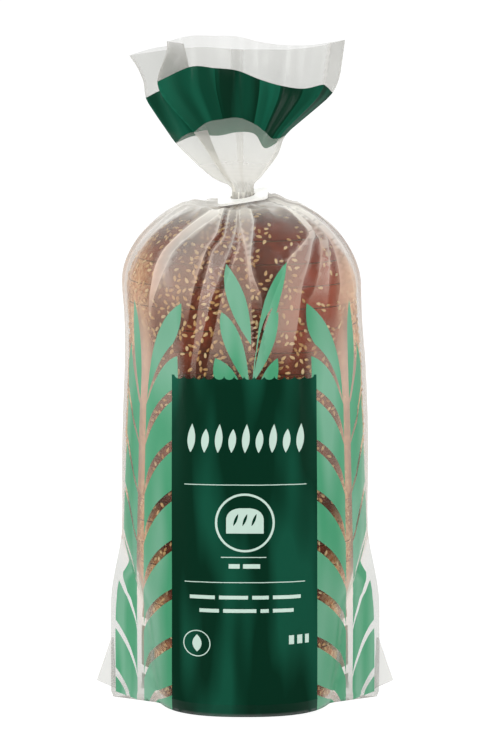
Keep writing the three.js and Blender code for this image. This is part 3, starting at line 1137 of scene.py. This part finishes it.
def draw_up(levels, start, deep_share):
    """Extrudes the selected top face up through the levels. Returns the last level's height."""
    z = start
    for level, grow in levels:
        bpy.ops.mesh.extrude_region_move(TRANSFORM_OT_translate={"value": (0, 0, (level - z) * MM)})
        size = (grow, 1 + (grow - 1) * deep_share, 1)
        bpy.ops.transform.resize(value=size, center_override=(0, 0, level * MM))
        z = level
    return z


def loaf_body():
    """The whole loaf: a block with rounded long edges, drawn up level by level and domed at its top."""
    centre = Vector((0, START_MIDDLE_Y, LOAF_FOOT + START_HEIGHT / 2)) * MM
    bpy.ops.object.select_all(action="DESELECT")
    bpy.ops.mesh.primitive_cube_add(size=1, location=centre)
    body = bpy.context.object
    body.name = "loaf"
    bpy.ops.object.transform_apply(location=True, rotation=False, scale=False)
    bpy.ops.object.mode_set(mode="EDIT")
    bpy.ops.mesh.select_all(action="SELECT")
    size = Vector((2 * START_HALF_WIDTH, START_DEPTH, START_HEIGHT)) * MM
    bpy.ops.transform.resize(value=size, center_override=centre)
    bpy.ops.object.mode_set(mode="OBJECT")
    for side, rounding in EDGE_ROUNDINGS:
        def corner(a, b):
            tall = abs(a.z - b.z) > 3 * MM and abs(a.x - b.x) < MM
            return tall and (a.y - centre.y) * side > 0

        select_edges(body, corner)
        bpy.ops.object.mode_set(mode="EDIT")
        bpy.ops.mesh.bevel(offset=rounding * MM, segments=7, profile=0.5, affect="EDGES")
        bpy.ops.object.mode_set(mode="OBJECT")
    select_top(body)
    bpy.ops.object.mode_set(mode="EDIT")
    z = draw_up(BODY_LEVELS, LOAF_FOOT + START_HEIGHT, 0.25)
    draw_up(TOP_LEVELS, z, 1.0)
    bpy.ops.mesh.select_all(action="DESELECT")
    bpy.ops.object.mode_set(mode="OBJECT")
    body.modifiers.new("round", "SUBSURF").levels = 2
    remesh = body.modifiers.new("even", "REMESH")
    remesh.mode = "VOXEL"
    remesh.voxel_size = 1.7 * MM
    apply_modifiers(body)
    shape_crust(body)
    return body


def clear_selection(mesh):
    for item in list(mesh.vertices) + list(mesh.edges) + list(mesh.polygons):
        item.select = False


def select_edges(piece, wanted):
    """Selects the edges whose two ends pass the test."""
    mesh = piece.data
    bpy.context.tool_settings.mesh_select_mode = (False, True, False)
    clear_selection(mesh)
    for edge in mesh.edges:
        a, b = (mesh.vertices[i] for i in edge.vertices)
        edge.select = wanted(a.co, b.co)
        if edge.select:
            a.select = b.select = True


def select_top(piece):
    """Selects the highest face."""
    mesh = piece.data
    bpy.context.tool_settings.mesh_select_mode = (False, False, True)
    clear_selection(mesh)
    top = max(mesh.polygons, key=lambda polygon: polygon.center.z)
    top.select = True
    for i in top.vertices:
        mesh.vertices[i].select = True


def shape_crust(body):
    """Fills the bag's form with the loaf, less the room for the film, and gives the crust its relief."""
    for vertex in body.data.vertices:
        x, y, z = vertex.co / MM
        centre = axis_x(z)
        angle = math.atan2(y, x - centre)
        radius = math.hypot(x - centre, y)
        limit = loaf_limit(angle, z)
        if z > LOAF_FOOT + 3:
            radius = lerp(radius, limit, 0.94 * (1 - ease(z, SHOULDER_Z + 22, LOAF_TOP - 2)))
        radius = min(radius, limit)
        spot = Vector((x, y, z))
        relief = 0.55 * noise.noise(spot * 0.035) + 0.35 * noise.noise(spot * 0.11 + Vector((7, 1, 3)))
        radius -= 0.5 + relief * 0.9
        vertex.co = Vector((centre + radius * math.cos(angle), radius * math.sin(angle), z)) * MM
    body.data.update()


def slice_loaf(body):
    """Cuts the loaf into slices that stay in place, with a hair of air between them."""
    random.seed(5)
    slices = []
    for k in range(SLICES):
        low = SLICE_LINE + SLICE * k
        high = low + SLICE
        piece = body.copy()
        piece.data = body.data.copy()
        bpy.context.scene.collection.objects.link(piece)
        select_only(piece)
        bpy.ops.object.mode_set(mode="EDIT")
        for z, keep_above in ((low + HALF_CUT, True), (high - HALF_CUT, False)):
            if (keep_above and k == 0) or (not keep_above and k == SLICES - 1):
                continue
            bpy.ops.mesh.select_all(action="SELECT")
            bpy.ops.mesh.bisect(plane_co=(0, 0, z * MM), plane_no=(0, 0, 1), use_fill=True,
                                clear_inner=keep_above, clear_outer=not keep_above)
            piece.active_material_index = 1
            bpy.ops.object.material_slot_assign()
        bpy.ops.mesh.select_all(action="DESELECT")
        bpy.ops.object.mode_set(mode="OBJECT")
        slip = Vector((random.uniform(-0.35, 0.35), random.uniform(-0.1, 0.25), 0)) * MM
        for vertex in piece.data.vertices:
            vertex.co += slip
        slices.append(piece)
    bpy.data.objects.remove(body)
    bpy.ops.object.select_all(action="DESELECT")
    for piece in slices:
        piece.select_set(True)
    bpy.context.view_layer.objects.active = slices[0]
    bpy.ops.object.join()
    loaf = bpy.context.object
    loaf.name = "sliced_loaf"
    bpy.ops.object.shade_smooth_by_angle(angle=math.radians(35))
    return loaf


def tree_of(piece):
    return BVHTree.FromPolygons([v.co.copy() for v in piece.data.vertices],
                                [tuple(p.vertices) for p in piece.data.polygons])


# The seeds

SEED_LENGTH = 2.95
SEED_WIDTH = 1.75
SEED_THICK = 0.95
SEEDS_WANTED = 3300
SEED_TRIES = 60000
SEED_GAP = 2.15
SEED_CELL = 2.6
SEED_LIFT = 0.12
RAY_START = 0.12


def seed_shape():
    """One seed: a ball that is drawn out to a point at one end and flattened."""
    bpy.ops.object.select_all(action="DESELECT")
    bpy.ops.mesh.primitive_uv_sphere_add(segments=7, ring_count=5, radius=0.5, rotation=(0, math.pi / 2, 0))
    ball = bpy.context.object
    bpy.ops.object.transform_apply(location=False, rotation=True, scale=False)
    points = []
    for vertex in ball.data.vertices:
        x, y, z = vertex.co
        pinch = 1 - 0.45 * ease(x, -0.1, 0.5)
        thin = 1 - 0.2 * ease(x, 0, 0.5)
        points.append(Vector((x * SEED_LENGTH, y * SEED_WIDTH * pinch, z * SEED_THICK * thin)))
    faces = [tuple(p.vertices) for p in ball.data.polygons]
    bpy.data.objects.remove(ball)
    return points, faces


def seed_density(angle, z):
    """How thickly the seeds lie: most on the front, few on its upper right and on the back."""
    front = ease(-math.sin(angle), -0.35, 0.3)
    right = ease(math.cos(angle), 0.12, 0.5) * ease(z, 170, 205)
    return lerp(0.1, 1.0, front) * (1 - 0.8 * right)


def seed_ray(angle, z):
    """The way out through the crust at an angle and a height, and the point that it starts from."""
    out = outwards(angle)
    if z <= SHOULDER_Z:
        return out, Vector((0, 0, z)) * MM
    tilt = math.radians(90) * ((z - SHOULDER_Z) / (LOAF_TOP - SHOULDER_Z)) ** 1.5
    ray = out * math.cos(tilt) + Vector((0, 0, math.sin(tilt)))
    return ray.normalized(), Vector((0, 0, SHOULDER_Z)) * MM


def turned_seed(shape, spot, normal):
    """A seed's points at a spot of the crust, at random turned, tipped and sized."""
    side = normal.orthogonal().normalized()
    along = Matrix.Rotation(random.uniform(0, math.tau), 3, normal) @ side
    along = Matrix.Rotation(random.gauss(0, 0.14), 3, normal.cross(along)) @ along
    across = normal.cross(along).normalized()
    up = along.cross(across)
    size = random.uniform(0.85, 1.1)
    return [spot + normal * SEED_LIFT + (along * p.x + across * p.y + up * p.z) * size for p in shape]


def scatter_seeds(tree):
    """Seeds all over the crust, no two closer than SEED_GAP."""
    random.seed(11)
    shape, shape_faces = seed_shape()
    points, faces, taken = [], [], {}
    placed = tries = 0
    while placed < SEEDS_WANTED and tries < SEED_TRIES:
        tries += 1
        angle = random.uniform(-math.pi, math.pi)
        z = random.uniform(4, LOAF_TOP - 2)
        patchy = 0.75 + 0.5 * noise.noise(Vector((angle * 3, z * 0.06, 2)))
        if random.random() > seed_density(angle, z) * patchy:
            continue
        ray, origin = seed_ray(angle, z)
        hit = tree.ray_cast(origin + ray * RAY_START, -ray)
        if hit[0] is None:
            continue
        spot = hit[0] / MM
        cell = tuple(int(value // SEED_CELL) for value in spot)
        near = [other for i in (-1, 0, 1) for j in (-1, 0, 1) for k in (-1, 0, 1)
                for other in taken.get((cell[0] + i, cell[1] + j, cell[2] + k), ())]
        if any((other - spot).length < SEED_GAP for other in near):
            continue
        taken.setdefault(cell, []).append(spot)
        base = len(points)
        points.extend(turned_seed(shape, spot, hit[1].normalized()))
        faces.extend(tuple(base + i for i in face) for face in shape_faces)
        placed += 1
    seeds = mesh_piece("sesame_seeds", points, faces)
    select_only(seeds)
    bpy.ops.object.shade_smooth()
    tints = [random.random() for _ in range(placed)]
    add_values(seeds.data, "tint", "POINT", [tint for tint in tints for _ in shape])
    return seeds


# Finishes


class Nodes:
    """The nodes of a finish or of the surroundings, with short calls for the usual ones."""

    def __init__(self, owner, output):
        owner.use_nodes = True
        self.owner = owner
        self.tree = owner.node_tree
        self.tree.nodes.clear()
        self.output = self.tree.nodes.new(output)

    def node(self, kind, values=None, **settings):
        node = self.tree.nodes.new(kind)
        for key, value in settings.items():
            setattr(node, key, value)
        for key, value in (values or {}).items():
            if isinstance(value, bpy.types.NodeSocket):
                self.tree.links.new(value, node.inputs[key])
            else:
                node.inputs[key].default_value = value
        return node

    def math(self, operation, a, b=0.0, c=0.0):
        return self.node("ShaderNodeMath", {0: a, 1: b, 2: c}, operation=operation).outputs[0]

    def range(self, value, low, high, to_low, to_high):
        node = self.node("ShaderNodeMapRange", {0: value, 1: low, 2: high, 3: to_low, 4: to_high})
        return node.outputs[0]

    def clamped(self, value):
        return self.node("ShaderNodeClamp", {"Value": value}).outputs["Result"]

    def ramp(self, factor, stops):
        node = self.node("ShaderNodeValToRGB", {"Fac": factor})
        elements = node.color_ramp.elements
        while len(elements) < len(stops):
            elements.new(0.5)
        for element, (at, colour) in zip(elements, stops):
            element.position = at
            element.color = (*colour, 1)
        return node.outputs["Color"]

    def tinted(self, share, first, second):
        """A colour between two, each a plain colour or what a node gives."""
        first, second = ((*c, 1) if isinstance(c, tuple) else c for c in (first, second))
        return self.node("ShaderNodeMixRGB", {0: share, 1: first, 2: second}).outputs["Color"]

    def noise(self, scale, detail=3.0, vector=None, **values):
        settings = {"Scale": scale, "Detail": detail, **values}
        if vector is not None:
            settings["Vector"] = vector
        return self.node("ShaderNodeTexNoise", settings).outputs["Fac"]

    def bump(self, height, strength, distance):
        values = {"Height": height, "Strength": strength, "Distance": distance}
        return self.node("ShaderNodeBump", values).outputs["Normal"]

    def place(self):
        return self.node("ShaderNodeTexCoord").outputs["Object"]

    def parts(self, vector):
        return self.node("ShaderNodeSeparateXYZ", {"Vector": vector}).outputs

    def value(self, name):
        """A value that the mesh carries for each of its points or faces."""
        return self.node("ShaderNodeAttribute", attribute_name=name).outputs["Fac"]

    def solid(self, colour, roughness, **values):
        settings = {name.replace("_", " "): value for name, value in values.items()}
        settings.update({"Base Color": colour, "Roughness": roughness})
        return self.node("ShaderNodeBsdfPrincipled", settings).outputs["BSDF"]

    def mix(self, share, first, second):
        return self.node("ShaderNodeMixShader", {0: share, 1: first, 2: second}).outputs["Shader"]

    def finish(self, shader):
        self.tree.links.new(shader, self.output.inputs["Surface"])
        return self.owner


def new_finish(name):
    return Nodes(bpy.data.materials.new(name), "ShaderNodeOutputMaterial")


def linear(r, g, b):
    """A colour as it looks on a screen, from 0 to 255, in linear light."""
    shares = (r / 255, g / 255, b / 255)
    return tuple(c / 12.92 if c <= 0.04045 else ((c + 0.055) / 1.055) ** 2.4 for c in shares)


# The colour of the painted crust glow in the clear film's haze
PAINTED_CRUST_GLOW_COLOUR = linear(230, 200, 181)
# A pale milk for the clear film at grazing angles, and the painted light of its gathered neck
PALE_MILK_AND_PAINTED_LIGHT = linear(236, 232, 222)

# For each finish of the film: name, colour, cover, tint, gloss, the colour of its milky and painted lit
# parts, and the strength of its painted glint streaks
FILM_LOOKS = {
    "clear": ("clear film", linear(198, 196, 190), None, (0.86, 0.865, 0.855), 0.5, None, 0.0),
    "leaf": ("leaf green print", linear(66, 144, 105), 0.9, linear(170, 225, 190),
             0.5, linear(130, 172, 150), 0.5),
    "dark": ("dark green print", linear(0, 42, 26), 0.996, linear(40, 120, 90),
             0.2, linear(24, 106, 82), 0.32),
    "pale": ("pale print", linear(178, 200, 188), 0.96, linear(200, 225, 210),
             0.6, linear(206, 224, 214), 0.2),
}


def film_finish(name, colour, cover, tint, gloss, milky, painted_glint_strength):
    """Thin film: clear or inked, with a white veil where it stands off the loaf, and creases that shine.
    Painted light on it: glint lines and leaning glint streaks, lighter facets and strips on the ink, and a
    crust-coloured glow and a paler neck on the clear film.
    """
    f = new_finish(name)
    uv = f.node("ShaderNodeUVMap", uv_map="sheet").outputs["UV"]
    long_streaks = f.node("ShaderNodeMapping", {"Vector": uv, "Scale": (60.0, 12.0, 1.0)})
    leaning = f.node("ShaderNodeMapping", {
        "Vector": uv, "Rotation": (0, 0, 0.32), "Scale": (32.0, 5.0, 1.0),
    })
    streaks = f.noise(1.0, 3.0, long_streaks.outputs["Vector"], Roughness=0.55)
    broad = f.noise(9.0, 2.0, uv)
    # Painted glints: leaning streaks that stand for thin wrinkles catching the light
    painted_glint_streaks = f.range(f.noise(1.0, 1.0, leaning.outputs["Vector"], Roughness=0.4), 0.42, 0.64, 0.0, 1.0)
    height = f.math("ADD", f.math("MULTIPLY", streaks, 0.5), f.math("MULTIPLY", broad, 0.8))
    bump = f.bump(height, f.math("MULTIPLY_ADD", f.value("gather"), -0.24, 0.28), 0.0012)
    veil = f.math("ADD", f.value("milk"), f.value("haze"))
    if cover is None:
        # Painted light: the clear film's haze takes a painted crust-coloured glow where it lies close to
        # the loaf
        colour = f.tinted(f.value("painted_crust_glow"), colour, PAINTED_CRUST_GLOW_COLOUR)
        # Painted light: the gathered neck of the clear film is painted paler
        colour = f.tinted(f.math("MULTIPLY", f.value("gather"), 0.8), colour, PALE_MILK_AND_PAINTED_LIGHT)
    else:
        # Painted light on the ink: milk, haze, the painted glint streaks and the fan's painted strip light
        # lighten it towards its milky colour, as lit facets would look
        milk_and_painted_light = f.math("MULTIPLY_ADD", veil, 0.6, f.math("MULTIPLY", painted_glint_streaks, painted_glint_strength))
        colour = f.tinted(f.clamped(f.math("ADD", milk_and_painted_light, f.value("light"))), colour, milky)
    veil = f.math("MULTIPLY_ADD", f.value("standoff"), 0.06, veil)
    # Painted glints: the streaks also add a faint white veil
    veil = f.math("MULTIPLY_ADD", painted_glint_streaks, 0.012, veil)
    share = f.clamped(veil if cover is None else f.math("MULTIPLY_ADD", veil, 0.25, cover))
    clear = f.node("ShaderNodeBsdfTransparent", {"Color": (*tint, 1)}).outputs["BSDF"]
    body = f.mix(share, clear, f.solid(colour, 0.45, Specular_IOR_Level=0.05, Normal=bump))
    if cover is None:
        grazing = f.node("ShaderNodeLayerWeight", {"Blend": 0.35}).outputs["Facing"]
        pale = f.node("ShaderNodeBsdfDiffuse", {"Color": (*PALE_MILK_AND_PAINTED_LIGHT, 1)}).outputs["BSDF"]
        body = f.mix(f.math("MULTIPLY", f.math("POWER", grazing, 2.5), 0.6), body, pale)
    shine = f.node("ShaderNodeBsdfGlossy", {"Roughness": 0.16, "Normal": bump}).outputs["BSDF"]
    fresnel = f.node("ShaderNodeFresnel", {"IOR": 1.5, "Normal": bump}).outputs["Fac"]
    return f.finish(f.mix(f.math("MINIMUM", f.math("MULTIPLY", fresnel, gloss), 0.3), body, shine))


def crust_finish():
    """Dark, patchy crust, redder on its upper right and pale and grainy along its sides."""
    f = new_finish("baked crust")
    place = f.place()
    patches = f.noise(28.0, 4.0, place, Roughness=0.6)
    fine = f.noise(240.0, 4.0, place)
    specks = f.noise(900.0, 2.0, place)
    colour = f.ramp(f.math("ADD", f.math("MULTIPLY", patches, 0.7), f.math("MULTIPLY", fine, 0.3)), [
        (0.30, linear(58, 25, 13)),
        (0.46, linear(92, 44, 26)),
        (0.60, linear(134, 62, 38)),
        (0.74, linear(156, 88, 55)),
    ])
    parts = f.parts(place)
    to_right = f.range(parts["X"], 0.008, 0.034, 0.0, 0.5)
    to_top = f.range(parts["Z"], 0.165, 0.19, 0.0, 1.0)
    colour = f.tinted(f.math("MULTIPLY", to_right, to_top), colour, linear(176, 66, 36))
    wider = f.range(parts["Z"], 0.05, 0.12, 0.008, 0.0)
    side = f.range(f.math("ADD", f.math("ABSOLUTE", parts["X"]), wider), 0.043, 0.051, 0.0, 0.9)
    grains = f.range(f.noise(420.0, 2.0, place), 0.36, 0.66, 0.0, 1.0)
    pale = f.ramp(grains, [(0.0, linear(200, 136, 84)), (1.0, linear(244, 204, 152))])
    colour = f.tinted(side, colour, pale)
    height = f.math("ADD", f.math("MULTIPLY", fine, 0.7), f.math("MULTIPLY", specks, 0.3))
    bump = f.bump(height, 0.5, 0.0008)
    rough = f.range(fine, 0.3, 0.7, 0.5, 0.75)
    return f.finish(f.solid(colour, rough, Normal=bump, Specular_IOR_Level=0.06))


def crumb_finish():
    f = new_finish("wholegrain crumb")
    place = f.place()
    pores = f.node("ShaderNodeTexVoronoi", {"Vector": place, "Scale": 420.0}).outputs["Distance"]
    colour = f.ramp(f.noise(150.0, 4.0, place), [
        (0.3, linear(132, 92, 58)),
        (0.55, linear(176, 138, 98)),
        (0.75, linear(205, 172, 130)),
    ])
    return f.finish(f.solid(colour, 0.9, Normal=f.bump(pores, 0.8, 0.001)))


def seed_finish():
    f = new_finish("toasted seed")
    speckle = f.noise(900.0, 3.0, f.place())
    shade = f.math("MULTIPLY_ADD", speckle, 0.3, f.math("MULTIPLY", f.value("tint"), 0.8))
    colour = f.ramp(shade, [
        (0.1, linear(178, 124, 66)),
        (0.5, linear(216, 170, 108)),
        (0.95, linear(240, 212, 160)),
    ])
    return f.finish(f.solid(colour, 0.42, Normal=f.bump(speckle, 0.3, 0.0003)))


def tag_finish():
    f = new_finish("white tag plastic")
    grain = f.noise(700.0, 2.0, f.place())
    colour = f.ramp(grain, [(0.3, linear(236, 236, 230)), (0.7, linear(246, 246, 241))])
    return f.finish(f.solid(colour, 0.42, Normal=f.bump(grain, 0.12, 0.0002)))


def floor_finish():
    """A floor that shines by itself, so that it is near the backdrop's white and still takes a shadow."""
    f = new_finish("pale floor")
    colour = f.ramp(f.noise(6.0, 2.0, f.place()), [(0.3, (0.19, 0.19, 0.19)), (0.7, (0.21, 0.21, 0.21))])
    return f.finish(f.solid(colour, 0.8, Emission_Color=(1, 1, 1, 1), Emission_Strength=0.92))


# Floor, light and camera


def add_floor():
    bpy.ops.object.select_all(action="DESELECT")
    bpy.ops.mesh.primitive_grid_add(x_subdivisions=8, y_subdivisions=8, size=160, location=(0, 0, -0.0004))
    floor = bpy.context.object
    floor.name = "floor"
    bpy.ops.object.transform_apply(location=True, rotation=False, scale=False)
    floor.data.materials.append(floor_finish())
    floor.visible_glossy = False


# Name, place, size, power and what it is aimed at, in metres and watts
LIGHTS = (
    ("left softbox", (-1.1, -0.9, 0.75), (0.8, 1.3), 11, (0, 0, 0.15)),
    ("left strip", (-0.78, -0.95, 0.5), (0.16, 1.0), 2.2, (0, 0, 0.5)),
    ("right strip", (0.66, -1.02, 0.5), (0.12, 1.0), 1.8, (0, 0, 0.5)),
    ("right softbox", (1.2, -0.7, 0.7), (0.7, 1.3), 9, (0, 0, 0.15)),
    ("top softbox", (0, 0.15, 1.5), (1.2, 0.9), 7, (0, 0, 0.15)),
    ("back wash", (0, 1.2, 0.8), (1.6, 1.0), 6, (0, 0, 0.15)),
)
SENSOR_HEIGHT = 36.0


def add_light(name, place, size, power, target):
    data = bpy.data.lights.new(name, "AREA")
    data.shape = "RECTANGLE"
    data.size, data.size_y = size
    data.energy = power
    light = bpy.data.objects.new(name, data)
    light.location = place
    light.rotation_euler = (Vector(target) - Vector(place)).to_track_quat("-Z", "Y").to_euler()
    bpy.context.scene.collection.objects.link(light)


ROOM_COLOUR = (0.98, 0.99, 1, 1)
ROOM_STRENGTH = 0.42


def add_world():
    """White for the camera, an even room for light, and one that is bright at the back in reflections."""
    f = Nodes(bpy.data.worlds.new("studio"), "ShaderNodeOutputWorld")
    bpy.context.scene.world = f.owner

    def background(colour, strength):
        return f.node("ShaderNodeBackground", {"Color": colour, "Strength": strength}).outputs[0]

    direction = f.node("ShaderNodeTexCoord").outputs["Generated"]
    brighter = f.range(f.parts(direction)["Y"], 0.0, 0.6, 0.03, 0.9)
    ray = f.node("ShaderNodeLightPath").outputs
    room = f.mix(
        ray["Is Glossy Ray"],
        background(ROOM_COLOUR, ROOM_STRENGTH),
        background(ROOM_COLOUR, brighter),
    )
    f.finish(f.mix(ray["Is Camera Ray"], room, background((1, 1, 1, 1), 1.0)))


def add_camera():
    data = bpy.data.cameras.new("photo view")
    data.sensor_fit = "VERTICAL"
    data.sensor_height = SENSOR_HEIGHT
    data.lens = SENSOR_HEIGHT * CAMERA_DISTANCE / (IMAGE_SIZE[1] * MM_PER_PIXEL)
    data.clip_end = 50
    camera = bpy.data.objects.new("photo view", data)
    rise = math.radians(CAMERA_ELEVATION)
    target = Vector(CAMERA_TARGET) * MM
    away = Vector((0, -math.cos(rise), math.sin(rise)))
    camera.location = target + away * CAMERA_DISTANCE * MM
    camera.rotation_euler = (-away).to_track_quat("-Z", "Y").to_euler()
    bpy.context.scene.collection.objects.link(camera)
    bpy.context.scene.camera = camera


# The whole scene

add_camera()
add_world()
add_floor()
for light in LIGHTS:
    add_light(*light)
bpy.context.scene.view_settings.view_transform = "Standard"

body = loaf_body()
body.data.materials.clear()
body.data.materials.append(crust_finish())
body.data.materials.append(crumb_finish())
crust_tree = tree_of(body)
loaf = slice_loaf(body)
seeds = scatter_seeds(crust_tree)
seeds.data.materials.append(seed_finish())
film = build_film(crust_tree)
for finish in FINISHES:
    film.data.materials.append(film_finish(*FILM_LOOKS[finish]))

for piece in (film, loaf, seeds):
    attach(piece, "root")
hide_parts("bread_bag")
tag = bpy.data.objects["closure_tag"]
tag.data.materials.clear()
tag.data.materials.append(tag_finish())
